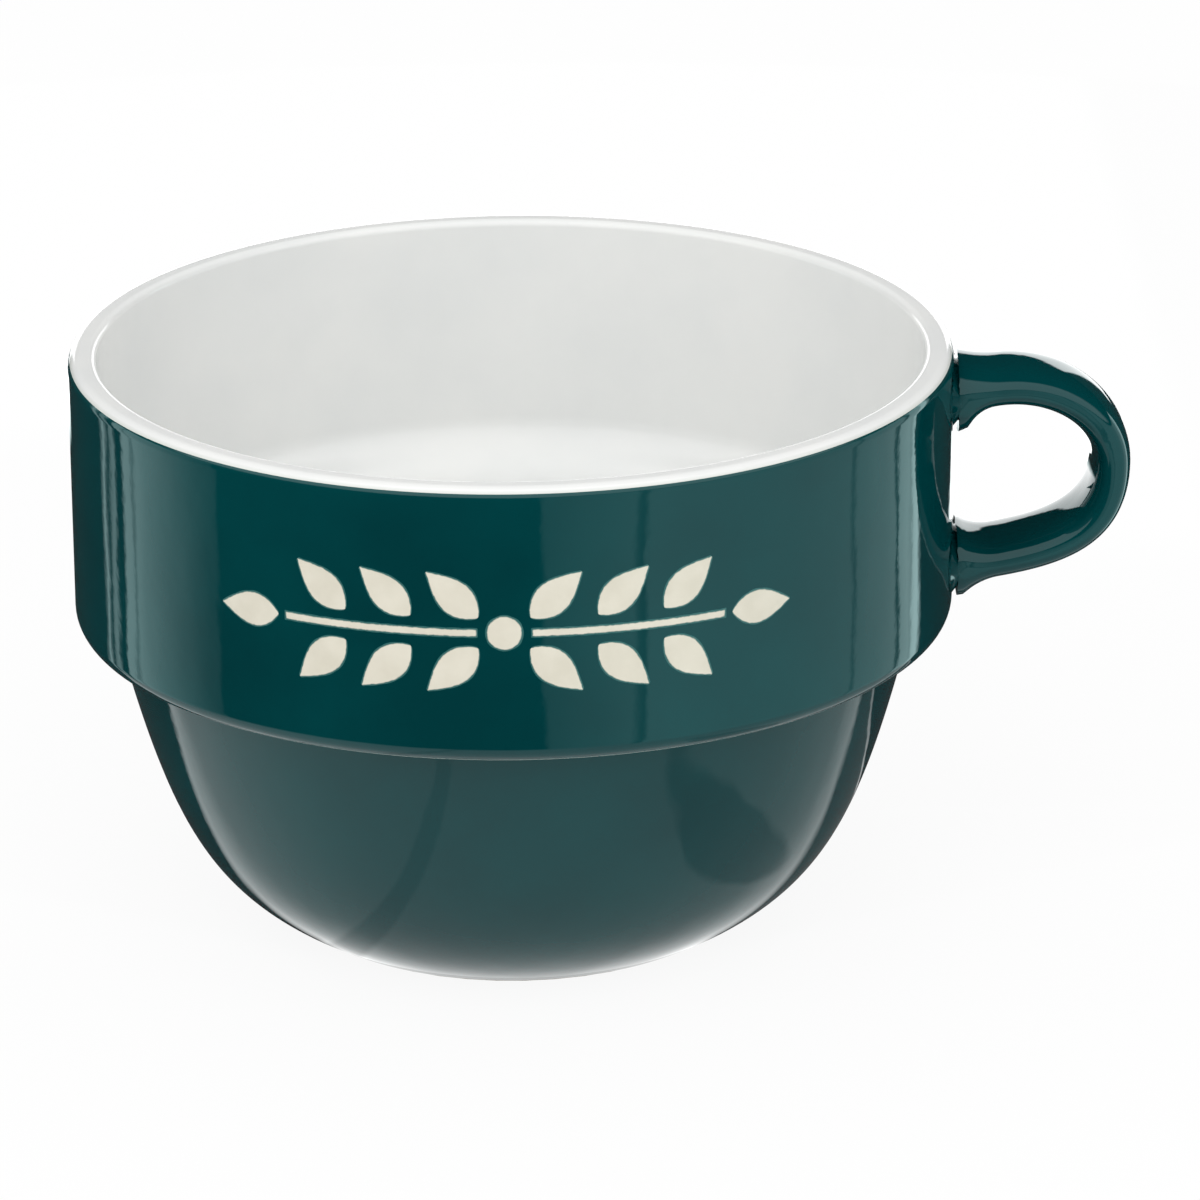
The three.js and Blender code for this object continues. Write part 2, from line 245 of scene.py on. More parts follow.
def worked(tree, operation, first, second=0.0, third=0.0):
    inputs = {0: first, 1: second, 2: third}
    return add_node(tree, "ShaderNodeMath", inputs, operation=operation).outputs[0]


def specks(tree, place, per_metre, share, size):
    cells = add_node(tree, "ShaderNodeTexVoronoi", {"Vector": place, "Scale": per_metre}).outputs
    chance = add_node(tree, "ShaderNodeSeparateXYZ", {"Vector": cells["Color"]}).outputs["X"]
    chosen = worked(tree, "GREATER_THAN", chance, 1 - share)
    dot = mapped(tree, cells["Distance"], size * per_metre, 0.5 * size * per_metre)
    return worked(tree, "MULTIPLY", chosen, dot)


def radius_from_axis(tree, place):
    flat = add_node(tree, "ShaderNodeVectorMath", {0: place, 1: (1, 1, 0)}, operation="MULTIPLY")
    length = add_node(tree, "ShaderNodeVectorMath", {0: flat.outputs["Vector"]}, operation="LENGTH")
    return length.outputs["Value"]


def green_material():
    made, tree, shader = new_material("green_glaze", 0.045)
    shader.inputs["Specular Tint"].default_value = (0.75, 1.0, 1.0, 1)
    place = object_place(tree)
    height = add_node(tree, "ShaderNodeSeparateXYZ", {"Vector": place}).outputs["Z"]
    cloud = mapped(tree, noise(tree, place, 45, 4), 0.35, 0.65)
    green = blended(tree, cloud, (0.0, 0.034, 0.038, 1), (0.0, 0.043, 0.047, 1))
    # Painted sheen: the green is painted paler over the top of the lip's outer round, just under the
    # white edge, where it faces the light.
    painted_lip_sheen = mapped(tree, height, HEIGHT - LIP_SHEEN_REACH, HEIGHT - WHITE_EDGE)
    green = blended(tree, painted_lip_sheen, green, (0.004, 0.055, 0.057, 1))
    # On the ledge's edge the green is painted pale: partly where the glaze runs thin there, partly a
    # painted highlight standing in for the bright line the edge mirrors.
    from_edge = worked(tree, "SUBTRACT", height, LEDGE_HEIGHT - LEDGE_SAG + THIN_EDGE_HIGHLIGHT)
    thin = mapped(tree, worked(tree, "ABSOLUTE", from_edge), THIN_EDGE_HIGHLIGHT, THIN_EDGE_HIGHLIGHT / 3)
    radius = radius_from_axis(tree, place)
    thin_start = RIM_RADIUS - THIN_EDGE_HIGHLIGHT_REACH
    outermost = mapped(tree, radius, thin_start, thin_start + THIN_EDGE_HIGHLIGHT_FADE)
    thin = worked(tree, "MULTIPLY", thin, outermost)
    green = blended(tree, thin, green, (0.38, 0.44, 0.42, 1))
    pinhole = specks(tree, place, 170, 0.05, 0.14 * MM)
    tree.links.new(blended(tree, pinhole, green, (0.12, 0.2, 0.19, 1)), shader.inputs["Base Color"])
    glaze_waves(tree, shader, place, 0.09 * MM)
    return made


green_glaze = green_material()
skin = outer_skin()
green_coat = turned("green_coat", skin + moved_in(skin, GLAZE)[::-1] + skin[:1], TURNS)
dress(green_coat, green_glaze, "green_glaze", "outer_glaze")

# White glaze: the lining, poured in and drained, over the lip and down inside to the floor. It comes down
# a little outside the lip, where it thins over the green and greys.

BAND_WALL = 3.9 * MM
LIP_INNER_ROUND = 1.0 * MM
BOWL_WALL = 4.4 * MM
LEDGE_WALL = 3.8 * MM
SHOULDER_HEIGHT = 9.0 * MM
FLOOR = 5.0 * MM
FLOOR_RADIUS = 20.0 * MM
WHITE_THINS = 0.75 * MM
WHITE_THINNEST = 0.3 * MM
LIP_TOP_STEPS = 10
SHOULDER_STEPS = 24
LINING_STEPS = 36


def inner_skin():
    wall = RIM_RADIUS - BAND_WALL
    white_line = math.asin(1 - WHITE_EDGE / LIP_ROUND)
    outer_lip = Vector((RIM_RADIUS - BAND_INSET - LIP_ROUND, HEIGHT - LIP_ROUND))
    inner_lip = Vector((wall + LIP_INNER_ROUND, HEIGHT - LIP_INNER_ROUND))
    middle = LEDGE_HEIGHT + LEDGE_WALL
    shoulder = Vector((wall, middle + SHOULDER_HEIGHT / 2))
    bowl_top = Vector((RIM_RADIUS - LEDGE_DEPTH - BOWL_WALL, middle - SHOULDER_HEIGHT / 2))
    floor_edge = Vector((FLOOR_RADIUS, FLOOR))
    lean = -math.pi / 2 - BOWL_LEAN
    line = arc(outer_lip, LIP_ROUND, white_line, math.pi / 2, LIP_TOP_STEPS)
    line += arc(inner_lip, LIP_INNER_ROUND, math.pi / 2, math.pi, ROUND_STEPS)
    drop = along(-math.pi / 2, SHOULDER_HEIGHT / 2)
    line += eased(shoulder, drop, bowl_top, along(lean, SHOULDER_HEIGHT / 2), SHOULDER_STEPS)
    side = along(lean, BOWL_FULLNESS * (bowl_top.y - FLOOR))
    base = along(math.pi, FOOT_FULLNESS * (bowl_top.x - FLOOR_RADIUS))
    line += eased(bowl_top, side, floor_edge, base, LINING_STEPS)[1:]
    return line + [Vector((0, FLOOR))]


def white_material():
    made, tree, shader = new_material("white_glaze", 0.1)
    place = object_place(tree)
    radius = radius_from_axis(tree, place)
    cloud = mapped(tree, noise(tree, place, 60, 3), 0.35, 0.65)
    white = blended(tree, cloud, (0.79, 0.8, 0.79, 1), (0.825, 0.83, 0.815, 1))
    thin = mapped(tree, radius, RIM_RADIUS - WHITE_THINS, RIM_RADIUS - WHITE_THINNEST)
    white = blended(tree, thin, white, (0.62, 0.65, 0.61, 1))
    speck = specks(tree, place, 90, 0.05, 0.16 * MM)
    tree.links.new(blended(tree, speck, white, (0.5, 0.47, 0.4, 1)), shader.inputs["Base Color"])
    glaze_waves(tree, shader, place, 0.02 * MM)
    return made


lining = inner_skin()
white_coat = turned("white_coat", lining + moved_in(lining, GLAZE)[::-1] + lining[:1], TURNS)
dress(white_coat, white_material(), "white_glaze", "inner_glaze")

# Handle: a pulled strap bent into an ear and glazed green all round. It is drawn straight, swelling into
# a flat root at each end, bent along the ear's curve, and cut, a touch slanting, at the luting slip.

UPPER_ROOT = HEIGHT - 7.75 * MM
LOWER_ROOT = LEDGE_HEIGHT + 5.8 * MM
ROOT_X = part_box("handle_glaze")[0].x
LOOP_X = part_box("handle_glaze")[1].x
STRAP_WIDTH = 14.7 * MM
STRAP_THICKNESS = 5.3 * MM
STRAP_POWER = 2.6
ROOT_WIDTH = 15.6 * MM
ROOT_HEIGHT = 9.3 * MM
ROOT_FLARE = 5.0 * MM
UPPER_CLIMB = 4.1 * MM
LOWER_CLIMB = 1.5 * MM
LOOP_BELLY = 0.59
BELLY_PULL = 0.81
RUN_LENGTH = 0.5 * (LOOP_X - STRAP_THICKNESS / 2 - ROOT_X)
SPARE_LENGTH = 4.0 * MM
ROOT_LAP = 0.4 * MM
ROOT_SLANT = 0.045
STRAP_SIDES = 72
STRAP_STEPS = 120
EAR_STEPS = 64


def ear_path():
    belly = Vector((LOOP_X - STRAP_THICKNESS / 2, LOWER_ROOT + LOOP_BELLY * (UPPER_ROOT - LOWER_ROOT)))
    upper = Vector((ROOT_X, UPPER_ROOT))
    lower = Vector((ROOT_X, LOWER_ROOT))
    upper_way = Vector((RUN_LENGTH, UPPER_CLIMB))
    lower_way = Vector((-RUN_LENGTH, -LOWER_CLIMB))
    down = Vector((0, -BELLY_PULL * (UPPER_ROOT - belly.y)))
    further_down = Vector((0, -BELLY_PULL * (belly.y - LOWER_ROOT)))
    spare = SPARE_LENGTH * upper_way.normalized()
    spare_end = SPARE_LENGTH * lower_way.normalized()
    knots = [
        (upper - spare, spare / 3, spare / 3),
        (upper, spare / 3, upper_way),
        (belly, down, further_down),
        (lower, lower_way, spare_end / 3),
        (lower + spare_end, spare_end / 3, spare_end / 3),
    ]
    path = start_mesh(bpy.ops.curve.primitive_bezier_curve_add)
    path.data.resolution_u = EAR_STEPS
    spline = path.data.splines[0]
    spline.bezier_points.add(len(knots) - 2)
    for knot, (spot, arriving, leaving) in zip(spline.bezier_points, knots):
        knot.handle_left_type = "FREE"
        knot.handle_right_type = "FREE"
        knot.co = (spot.x, 0, spot.y)
        knot.handle_left = (spot.x - arriving.x, 0, spot.y - arriving.y)
        knot.handle_right = (spot.x + leaving.x, 0, spot.y + leaving.y)
    return path


def squared(value):
    return math.copysign(abs(value) ** (2 / STRAP_POWER), value)


def swell(to_root):
    return max(1 - max(to_root, 0) / ROOT_FLARE, 0) ** 2


def straight_strap(length):
    ring = start_mesh(
        bpy.ops.mesh.primitive_circle_add,
        vertices=STRAP_SIDES,
        radius=1,
        fill_type="NGON",
        rotation=(0, math.pi / 2, 0),
    )
    bpy.ops.object.transform_apply(location=False, rotation=True, scale=False)
    for corner in ring.data.vertices:
        corner.co.y = squared(corner.co.y)
        corner.co.z = squared(corner.co.z)
    bpy.ops.object.mode_set(mode="EDIT")
    bpy.ops.mesh.select_all(action="SELECT")
    for _ in range(STRAP_STEPS):
        bpy.ops.mesh.extrude_region_move(TRANSFORM_OT_translate={"value": (length / STRAP_STEPS, 0, 0)})
    close_mesh()
    for corner in ring.data.vertices:
        side, up = corner.co.y, corner.co.z * STRAP_THICKNESS / 2
        to_upper = corner.co.x - SPARE_LENGTH - up * UPPER_CLIMB / RUN_LENGTH
        to_lower = length - corner.co.x - SPARE_LENGTH + up * LOWER_CLIMB / RUN_LENGTH
        growth = swell(min(to_upper, to_lower))
        corner.co.y = side * (STRAP_WIDTH + growth * (ROOT_WIDTH - STRAP_WIDTH)) / 2
        corner.co.z *= (STRAP_THICKNESS + growth * (ROOT_HEIGHT - STRAP_THICKNESS)) / 2
    return ring


path = ear_path()
path_length = path.data.splines[0].calc_length()
strap = straight_strap(path_length)
strap.name = "strap_glaze"
bend = strap.modifiers.new("Ear", "CURVE")
bend.object = path
bend.deform_axis = "POS_X"
bpy.ops.object.modifier_apply(modifier="Ear")
bpy.data.objects.remove(path)
bpy.ops.object.mode_set(mode="EDIT")
bpy.ops.mesh.select_all(action="SELECT")
root_cut = (ROOT_X - ROOT_LAP, 0, 0)
bpy.ops.mesh.bisect(plane_co=root_cut, plane_no=(1, -ROOT_SLANT, 0), clear_inner=True, use_fill=True)
close_mesh()
dress(strap, green_glaze, "green_glaze", "handle_glaze")

# Luting slip: the soft clay that sticks each root to the band. It is wiped back inside the root's edge,
# so a groove runs round under it, smoothed out on the band and glazed green.

SLIP_WIDTH = 15.0 * MM
SLIP_HEIGHT = 6.9 * MM
SLIP_SKIRT = 1.7
SKIRT_FALL = 1.6
SLIP_SIDES = 64
SLIP_STEPS = 16
SLIP_DEPTH = 1.2 * MM


def slip_collar(name, root_z):
    inside = RIM_RADIUS - SLIP_DEPTH
    collar = start_mesh(
        bpy.ops.mesh.primitive_circle_add,
        vertices=SLIP_SIDES,
        radius=0.5,
        fill_type="NGON",
        location=(inside, 0, root_z),
        rotation=(0, math.pi / 2, 0),
    )
    collar.name = name + "_collar"
    bpy.ops.object.transform_apply(location=True, rotation=True, scale=False)
    bpy.ops.object.mode_set(mode="EDIT")
    bpy.ops.mesh.select_all(action="SELECT")
    skirt = (1, SLIP_WIDTH * SLIP_SKIRT, SLIP_HEIGHT * SLIP_SKIRT)
    bpy.ops.transform.resize(value=skirt, center_override=(inside, 0, root_z))
    depth = ROOT_X - BAND_INSET - inside
    size = SLIP_SKIRT
    for k in range(1, SLIP_STEPS + 1):
        share = k / SLIP_STEPS
        new_size = 1 + (SLIP_SKIRT - 1) * (1 - share) ** SKIRT_FALL
        bpy.ops.mesh.extrude_region_move(TRANSFORM_OT_translate={"value": (depth / SLIP_STEPS, 0, 0)})
        growth = new_size / size
        centre = (inside + share * depth, 0, root_z)
        bpy.ops.transform.resize(value=(1, growth, growth), center_override=centre)
        size = new_size
    close_mesh()
    for corner in collar.data.vertices:
        sag = RIM_RADIUS - math.sqrt(RIM_RADIUS ** 2 - corner.co.y ** 2)
        corner.co.x -= sag * (inside + depth - corner.co.x) / depth
    dress(collar, green_glaze, "green_glaze", name)


slip_collar("upper_luting_slip", UPPER_ROOT)
slip_collar("lower_luting_slip", LOWER_ROOT)

# Sprig: cream slip inlaid in the green, a berry with a leafy twig on each side. A patch is shaped flat
# from a grid, its edge running down under the green, then laid on the band. One leaf is made and copied.

SPRIG_AZIMUTH = math.radians(-93)
SPRIG_RISE = 0.48
SPRIG_HEIGHT = LEDGE_HEIGHT + SPRIG_RISE * (HEIGHT - LEDGE_HEIGHT)
LEAF_PAIRS = 3
LEAF_LENGTH = 9.0 * MM
LEAF_WIDTH = 5.0 * MM
LEAF_ANGLE = math.radians(42)
LEAF_SPACING = 0.9 * MM
LEAF_OFFSET = 1.4 * MM
LEAF_SWELL = 0.8
TWIG_WIDTH = 1.4 * MM
BERRY_DIAMETER = 5.0 * MM
SLIP_GAP = 0.9 * MM
BLUNT_TIP = 0.25 * MM
PATCH_THICKNESS = 0.3 * MM
HALO = 0.32 * MM
PATCH_ROWS = 14
PATCH_SINK = 0.01 * MM
BERRY_STEPS = 40
LEAF_STEPS = 36
TWIG_STEPS = 60
INLAY_SMOOTH_BELOW = math.radians(50)


def slip_material():
    made, tree, shader = new_material("cream_slip", 0.3)
    place = object_place(tree)
    edge = add_node(tree, "ShaderNodeAttribute", attribute_name="edge_distance").outputs["Fac"]
    ragged = mapped(tree, noise(tree, place, 1500), 0.3, 0.7, -0.05 * MM, 0.05 * MM)
    distance = worked(tree, "ADD", edge, ragged)
    cloud = mapped(tree, noise(tree, place, 220, 4), 0.35, 0.65)
    cream = blended(tree, cloud, (0.65, 0.615, 0.51, 1), (0.705, 0.67, 0.565, 1))
    inside = mapped(tree, distance, HALO * 0.6, HALO * 1.1)
    tree.links.new(blended(tree, inside, (0.02, 0.12, 0.115, 1), cream), shader.inputs["Base Color"])
    bumped(tree, shader, noise(tree, place, 1200, 3), 0.008 * MM)
    return made


def leaf_half_width(share):
    return BLUNT_TIP + (LEAF_WIDTH / 2 - BLUNT_TIP) * math.sin(math.pi * share ** LEAF_SWELL)


def berry_half_width(share):
    return BLUNT_TIP + (BERRY_DIAMETER / 2 - BLUNT_TIP) * math.sqrt(1 - (2 * share - 1) ** 2)


def twig_half_width(share):
    return TWIG_WIDTH / 2


def patch_across(step, steps, half):
    inset = (0, HALO * 0.5, HALO, HALO * 1.4)
    rows = min(step, steps - step)
    side = -1 if step * 2 < steps else 1
    if rows < len(inset):
        return side * max(half - inset[rows], 0.1 * half * (1 - rows / steps))
    share = (steps / 2 - rows) / (steps / 2 - len(inset) + 1)
    return side * share * max(half - inset[-1], 0.05 * half)


def side_edge(half_width, length):
    return lambda along, across: half_width(along / length) - abs(across)


def berry_edge(along, across):
    return BERRY_DIAMETER / 2 - math.hypot(along - BERRY_DIAMETER / 2, across)


def twig_edge(along, across):
    return min(TWIG_WIDTH / 2 - abs(across), along, twig_length - along)


def flat_patch(name, length, half_width, edge_distance, steps):
    patch = start_mesh(
        bpy.ops.mesh.primitive_grid_add, x_subdivisions=steps, y_subdivisions=PATCH_ROWS, size=1
    )
    patch.name = name
    distances = patch.data.attributes.new("edge_distance", "FLOAT", "POINT")
    for corner in patch.data.vertices:
        share = (1 - math.cos(math.pi * (corner.co.x + 0.5))) / 2
        half = half_width(share)
        across = patch_across(round((corner.co.y + 0.5) * PATCH_ROWS), PATCH_ROWS, half)
        edge = max(edge_distance(share * length, across), 0)
        distances.data[corner.index].value = edge
        rise = BAND_INSET * min(edge / HALO, 1)
        corner.co = (share * length, across, rise)
    return patch


def laid_on_band(patch, foot, angle):
    turn = Matrix.Rotation(angle, 3, "Z")
    for corner in patch.data.vertices:
        flat = turn @ corner.co
        azimuth = SPRIG_AZIMUTH + (foot.x + flat.x) / RIM_RADIUS
        radius = RIM_RADIUS - BAND_INSET - PATCH_SINK + flat.z
        height = SPRIG_HEIGHT + foot.y + flat.y
        corner.co = (radius * math.cos(azimuth), radius * math.sin(azimuth), height)


def finish_patch(patch, node):
    bpy.ops.object.select_all(action="DESELECT")
    bpy.context.view_layer.objects.active = patch
    patch.select_set(True)
    wall = patch.modifiers.new("Depth", "SOLIDIFY")
    wall.thickness = PATCH_THICKNESS
    wall.offset = -1
    bpy.ops.object.modifier_apply(modifier="Depth")
    bpy.ops.object.shade_smooth_by_angle(angle=INLAY_SMOOTH_BELOW)
    dress(patch, cream_slip, "cream_slip", node)


def copied(piece, name):
    copy = piece.copy()
    copy.data = piece.data.copy()
    copy.name = name
    bpy.context.collection.objects.link(copy)
    return copy


cream_slip = slip_material()
berry = flat_patch("berry_inlay", BERRY_DIAMETER, berry_half_width, berry_edge, BERRY_STEPS)
laid_on_band(berry, Vector((-BERRY_DIAMETER / 2, 0)), 0)
finish_patch(berry, "berry")

leaf_edge = side_edge(leaf_half_width, LEAF_LENGTH)
leaf = flat_patch("leaf_pattern", LEAF_LENGTH, leaf_half_width, leaf_edge, LEAF_STEPS)
leaf_pitch = (LEAF_WIDTH + LEAF_SPACING) / math.sin(LEAF_ANGLE)
twig_start = BERRY_DIAMETER / 2 + SLIP_GAP
twig_length = LEAF_PAIRS * leaf_pitch
off_twig = TWIG_WIDTH / 2 + LEAF_OFFSET
for side, sign in (("left", -1), ("right", 1)):
    facing = 0 if sign > 0 else math.pi
    twig = flat_patch(side + "_twig_inlay", twig_length, twig_half_width, twig_edge, TWIG_STEPS)
    laid_on_band(twig, Vector((sign * twig_start, 0)), facing)
    finish_patch(twig, side + "_twig")
    places = [("end_leaf", Vector((twig_start + twig_length + SLIP_GAP, 0)), 0)]
    for pair in range(LEAF_PAIRS):
        foot = twig_start + pair * leaf_pitch
        places.append((f"upper_leaf_{pair + 1}", Vector((foot, off_twig)), LEAF_ANGLE))
        places.append((f"lower_leaf_{pair + 1}", Vector((foot, -off_twig)), -LEAF_ANGLE))
    for name, foot, angle in places:
        node = f"{side}_{name}"
        inlay = copied(leaf, node + "_inlay")
        laid_on_band(inlay, Vector((sign * foot.x, foot.y)), facing + sign * angle)
        finish_patch(inlay, node)
bpy.data.objects.remove(leaf)

# Camera: a long lens about a metre off, looking some twenty degrees down, a touch rolled.

CAMERA_LENS = 218.8
CAMERA_SENSOR = 36
CAMERA_NEAR = 0.01
CAMERA_TURN = math.radians(-2.5)
CAMERA_PITCH = math.radians(20.2)
CAMERA_ROLL = math.radians(-0.44)
CAMERA_PLACE = Vector((11.8, -938.5, 388.95)) * MM

bpy.ops.object.camera_add()
camera = bpy.context.object
camera.data.lens = CAMERA_LENS
camera.data.sensor_width = CAMERA_SENSOR
camera.data.clip_start = CAMERA_NEAR
turn = Matrix.Rotation(CAMERA_TURN, 4, "Z")
tilt = Matrix.Rotation(math.pi / 2 - CAMERA_PITCH, 4, "X")
roll = Matrix.Rotation(CAMERA_ROLL, 4, "Z")
camera.matrix_world = turn @ Matrix.Translation(CAMERA_PLACE) @ tilt @ roll
bpy.context.scene.camera = camera
bpy.context.scene.view_settings.view_transform = "Standard"

# Table and room: a white table that keeps the mug's shadow, a white room, and one large softbox overhead
# for the light on the mug.

TABLE_SIZE = 8
TABLE_GLOW = 0.92
ROOM_LIGHT = 0.86


def seen_share(tree):
    rays = add_node(tree, "ShaderNodeLightPath").outputs
    seen = worked(tree, "ADD", rays["Is Camera Ray"], rays["Is Glossy Ray"])
    return worked(tree, "MINIMUM", worked(tree, "ADD", seen, rays["Is Transmission Ray"]), 1.0)


def table_material():
    made, tree, shader = new_material("white_table", 0.7)
    shader.inputs["Base Color"].default_value = (0.9, 0.9, 0.9, 1)
    share = worked(tree, "MULTIPLY", seen_share(tree), TABLE_GLOW)
    glow = add_node(tree, "ShaderNodeEmission", {"Color": (1, 1, 1, 1), "Strength": 1.0})
    mix = add_node(tree, "ShaderNodeMixShader", {0: share, 1: shader.outputs[0], 2: glow.outputs[0]})
    tree.links.new(mix.outputs[0], tree.nodes["Material Output"].inputs["Surface"])
    return made


table = start_mesh(bpy.ops.mesh.primitive_plane_add, size=TABLE_SIZE)
table.name = "table"
table.data.materials.append(table_material())

world = bpy.data.worlds.new("white_room")
bpy.context.scene.world = world
world.use_nodes = True
room = world.node_tree
room.nodes["Background"].inputs["Color"].default_value = (1, 1, 1, 1)
room_strength = mapped(room, seen_share(room), 0, 1, ROOM_LIGHT, 1.0)
room.links.new(room_strength, room.nodes["Background"].inputs["Strength"])

SOFTBOX_PLACE = Vector((-0.1, -0.65, 0.8))
SOFTBOX_SIZE = 0.8
SOFTBOX_BRIGHTNESS = 2.0

bpy.ops.object.light_add(type="AREA", location=SOFTBOX_PLACE)
softbox = bpy.context.object
softbox.name = "overhead_softbox"
softbox.data.size = SOFTBOX_SIZE
softbox.data.energy = SOFTBOX_BRIGHTNESS * math.pi * SOFTBOX_SIZE ** 2
softbox.rotation_euler = (Vector((0, 0, HEIGHT / 2)) - SOFTBOX_PLACE).to_track_quat("-Z", "Y").to_euler()
softbox.visible_glossy = False
softbox.visible_camera = False

# Cards: what the glaze mirrors. They lie on the table and stand round it out of the picture, and only
# mirror rays see them: lit strips at the sides, dark between, a white backdrop low behind and a softbox
# overhead.

CARD_LIFT = 0.4 * MM
CARD_EDGE = 31.8 * MM
CARD_RADIUS = 420 * MM
CARD_HEIGHT = 700 * MM
CARD_TURNS = 96
NEAR_EDGE = 120 * MM
NEAR_GLOW = 0.66
NEAR_SHADE = 0.12
LEFT_SHADE = 0.04
NEAR_TURN = 36 * MM
NEAR_SLANT = 0.57
TURN_REACH = 14 * MM
TURN_GAIN = 1.7
NEAR_FLAT = 28 * MM
FOOT_GLOW = 0.3
FOOT_GLOW_REACH = 46 * MM
SEAM = 24 * MM
SEAM_SHADE = 0.75
ROD = 30 * MM
ROD_START = 50 * MM
SIDE_REACH = 80 * MM
SIDE_GAINS = (1.3, 0.95)
BLOT_PLACE = (-3.9, 1.55, 0)
BLOT_SCALE = (77, 36, 0)
BLOT_SHADE = 0.6
BLOT_EDGE = (1.35, 1.5)
BLOT_WAVES = 45
BACKDROP_START = 190 * MM
HANDLE_START = 130 * MM
HANDLE_SIDE = 55 * MM
BACKDROP_REACH = 108 * MM
BACKDROP_TOP = 168 * MM
BACKDROP_SPREAD = 190 * MM
BACKDROP_GLOW = 2.2
OVERHEAD_START = 178 * MM
OVERHEAD_FADE = 50 * MM
OVERHEAD_GLOW = 1.3
STRIP_GLOW = 1.9
STRIP_COLOUR = (0.75, 1.0, 1.0, 1)
DARK = 0.008
BRIGHTEST = 2.0

# Each lit strip: its two sides, in degrees round the band from its middle, where the glaze mirrors them,
# and how bright it is at each.
STRIP_EDGE = 0.3
LEFT_STRIPS = (
    (-64.5, -63.5, 0.72, 0.72),
    (-61.8, -60.9, 0.56, 0.56),
    (-58.5, -56.4, 0.82, 0.82),
    (-55.8, -40, 0.84, 0.14),
)
RIGHT_STRIPS = (
    (4.2, 15.3, 0.24, 0.45),
    (16.4, 47.3, 0.5, 0.44),
    (48.0, 57.1, 0.48, 0.54),
    (58.2, 60.8, 0.82, 0.9),
    (61.3, 63.8, 1.25, 1.35),
)


# Where round the band the camera sees a spot of the cards mirrored: a few steps close in on the angle.
def mirrored_on_band(tree, azimuth, radius):
    place = worked(tree, "MULTIPLY", azimuth, 0.6)
    for _ in range(4):
        sideways = worked(tree, "MULTIPLY", worked(tree, "SINE", place), RIM_RADIUS)
        lean = worked(tree, "ARCSINE", worked(tree, "DIVIDE", sideways, radius))
        lean = worked(tree, "MULTIPLY_ADD", sideways, -1 / camera_distance, lean)
        place = worked(tree, "MULTIPLY", worked(tree, "ADD", azimuth, lean), 0.5)
    return place


def strip_ramp(tree, place, strips):
    stops = [(-90, DARK)]
    for low, high, bright_low, bright_high in strips:
        stops += [(low - STRIP_EDGE, DARK), (low, bright_low)]
        stops += [(high, bright_high), (high + STRIP_EDGE, DARK)]
    half_turn = math.pi / 2
    ramp = add_node(tree, "ShaderNodeValToRGB", {"Fac": mapped(tree, place, -half_turn, half_turn)})
    bar = ramp.color_ramp.elements
    while len(bar) < len(stops):
        bar.new(0.5)
    for element, (degrees, bright) in zip(bar, stops):
        grey = bright / BRIGHTEST
        element.position = degrees / 180 + 0.5
        element.color = (grey, grey, grey, 1)
    return worked(tree, "MULTIPLY", ramp.outputs["Color"], BRIGHTEST * STRIP_GLOW)


def either(tree, share, first, second):
    return mapped(tree, share, 0, 1, first, second)


# The table close by: lit in front, with a seam and a soft dark blot; in shade behind, with a pale rod at
# the right.
def near_table(tree, spot, across, behind, ahead, radius):
    to_side = worked(tree, "MAXIMUM", worked(tree, "ABSOLUTE", across), NEAR_FLAT)
    front_line = worked(tree, "MULTIPLY_ADD", to_side, NEAR_SLANT, ahead)
    in_front = mapped(tree, front_line, NEAR_TURN - 2 * MM, NEAR_TURN + 2 * MM)
    by_foot = worked(tree, "POWER", mapped(tree, radius, FOOT_GLOW_REACH, CARD_EDGE), 2.0)
    glow = worked(tree, "MULTIPLY_ADD", by_foot, FOOT_GLOW, NEAR_GLOW)
    glow = worked(tree, "MULTIPLY", glow, mapped(tree, across, -SIDE_REACH, SIDE_REACH, *SIDE_GAINS))
    blot = {"Vector": spot, "Location": BLOT_PLACE, "Scale": BLOT_SCALE}
    from_blot = radius_from_axis(tree, add_node(tree, "ShaderNodeMapping", blot).outputs["Vector"])
    from_blot = worked(tree, "ADD", from_blot, noise(tree, spot, BLOT_WAVES, 1))
    glow = worked(tree, "MULTIPLY", glow, mapped(tree, from_blot, *BLOT_EDGE, BLOT_SHADE, 1.0))
    past_turn = worked(tree, "SUBTRACT", front_line, NEAR_TURN)
    glow = worked(tree, "MULTIPLY", glow, mapped(tree, past_turn, 0, TURN_REACH, TURN_GAIN, 1.0))
    from_seam = worked(tree, "ABSOLUTE", worked(tree, "ADD", across, SEAM))
    glow = worked(tree, "MULTIPLY", glow, mapped(tree, from_seam, 2 * MM, 3 * MM, SEAM_SHADE, 1.0))
    from_rod = worked(tree, "ABSOLUTE", worked(tree, "SUBTRACT", behind, ROD))
    on_rod = mapped(tree, across, ROD_START, ROD_START + 5 * MM)
    rod = worked(tree, "MULTIPLY", mapped(tree, from_rod, 2 * MM, 1 * MM), on_rod)
    to_right = mapped(tree, across, 0, 1 * MM)
    beside = worked(tree, "MULTIPLY", to_right, mapped(tree, behind, ROD, ROD - 1 * MM))
    shade = either(tree, rod, either(tree, beside, LEFT_SHADE, NEAR_SHADE), NEAR_GLOW)
    return either(tree, in_front, shade, glow)


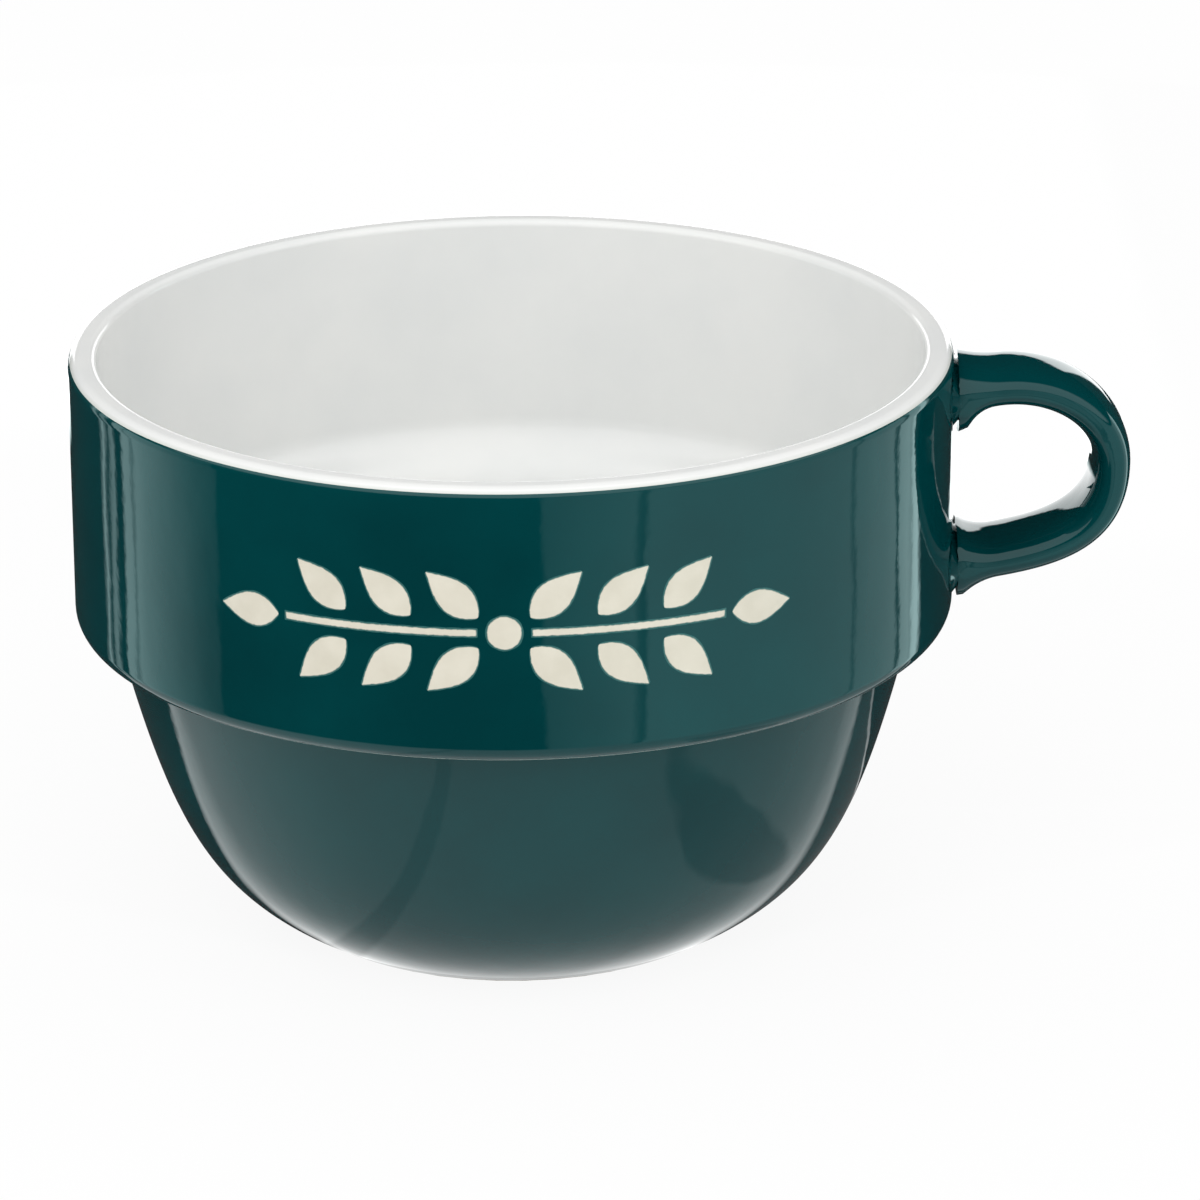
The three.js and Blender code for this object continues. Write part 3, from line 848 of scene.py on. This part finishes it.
def card_material():
    made, tree, shader = new_material("studio_cards", 1.0)
    facing = {"Vector": object_place(tree), "Rotation": (0, 0, -camera_side)}
    spot = add_node(tree, "ShaderNodeMapping", facing).outputs["Vector"]
    across, behind, height = add_node(tree, "ShaderNodeSeparateXYZ", {"Vector": spot}).outputs
    radius = radius_from_axis(tree, spot)
    ahead = worked(tree, "MULTIPLY", behind, -1.0)
    azimuth = worked(tree, "ARCTAN2", across, ahead)
    place = mirrored_on_band(tree, azimuth, radius)
    left_strips = strip_ramp(tree, place, LEFT_STRIPS)
    strips = worked(tree, "ADD", left_strips, strip_ramp(tree, place, RIGHT_STRIPS))
    near = near_table(tree, spot, across, behind, ahead, radius)
    outside = mapped(tree, radius, NEAR_EDGE - 10 * MM, NEAR_EDGE + 10 * MM)
    low = either(tree, outside, near, strips)
    standing = mapped(tree, height, 1 * MM, 6 * MM, BACKDROP_REACH, BACKDROP_SPREAD)
    past_side = worked(tree, "SUBTRACT", worked(tree, "ABSOLUTE", across), standing)
    reach = mapped(tree, past_side, 5 * MM, 0)
    start = mapped(tree, across, HANDLE_SIDE, HANDLE_SIDE + 5 * MM, BACKDROP_START, HANDLE_START)
    beyond = mapped(tree, worked(tree, "SUBTRACT", behind, start), 0, 20 * MM)
    on_backdrop = worked(tree, "MULTIPLY", reach, beyond)
    low = either(tree, on_backdrop, low, BACKDROP_GLOW)
    overhead = mapped(tree, ahead, -OVERHEAD_FADE, OVERHEAD_FADE, DARK, OVERHEAD_GLOW)
    up_there = mapped(tree, height, OVERHEAD_START, OVERHEAD_START + 15 * MM)
    overhead = worked(tree, "MULTIPLY", overhead, up_there)
    is_high = mapped(tree, height, BACKDROP_TOP - 10 * MM, BACKDROP_TOP)
    bright = either(tree, is_high, low, overhead)
    on_strips = worked(tree, "SUBTRACT", outside, worked(tree, "MAXIMUM", on_backdrop, is_high))
    colour = blended(tree, on_strips, (1, 1, 1, 1), STRIP_COLOUR)
    glow = add_node(tree, "ShaderNodeEmission", {"Color": colour, "Strength": bright})
    tree.links.new(glow.outputs[0], tree.nodes["Material Output"].inputs["Surface"])
    return made


camera_spot = camera.matrix_world.translation
camera_side = math.atan2(camera_spot.x, -camera_spot.y)
camera_distance = camera_spot.xy.length
card_line = [
    Vector((CARD_EDGE, CARD_LIFT)),
    Vector((CARD_RADIUS, CARD_LIFT)),
    Vector((CARD_RADIUS, CARD_HEIGHT)),
    Vector((0, CARD_HEIGHT)),
]
cards = turned("studio_cards", card_line, CARD_TURNS)
cards.data.materials.append(card_material())
cards.visible_camera = False
cards.visible_diffuse = False
cards.visible_shadow = False
cards.visible_transmission = False
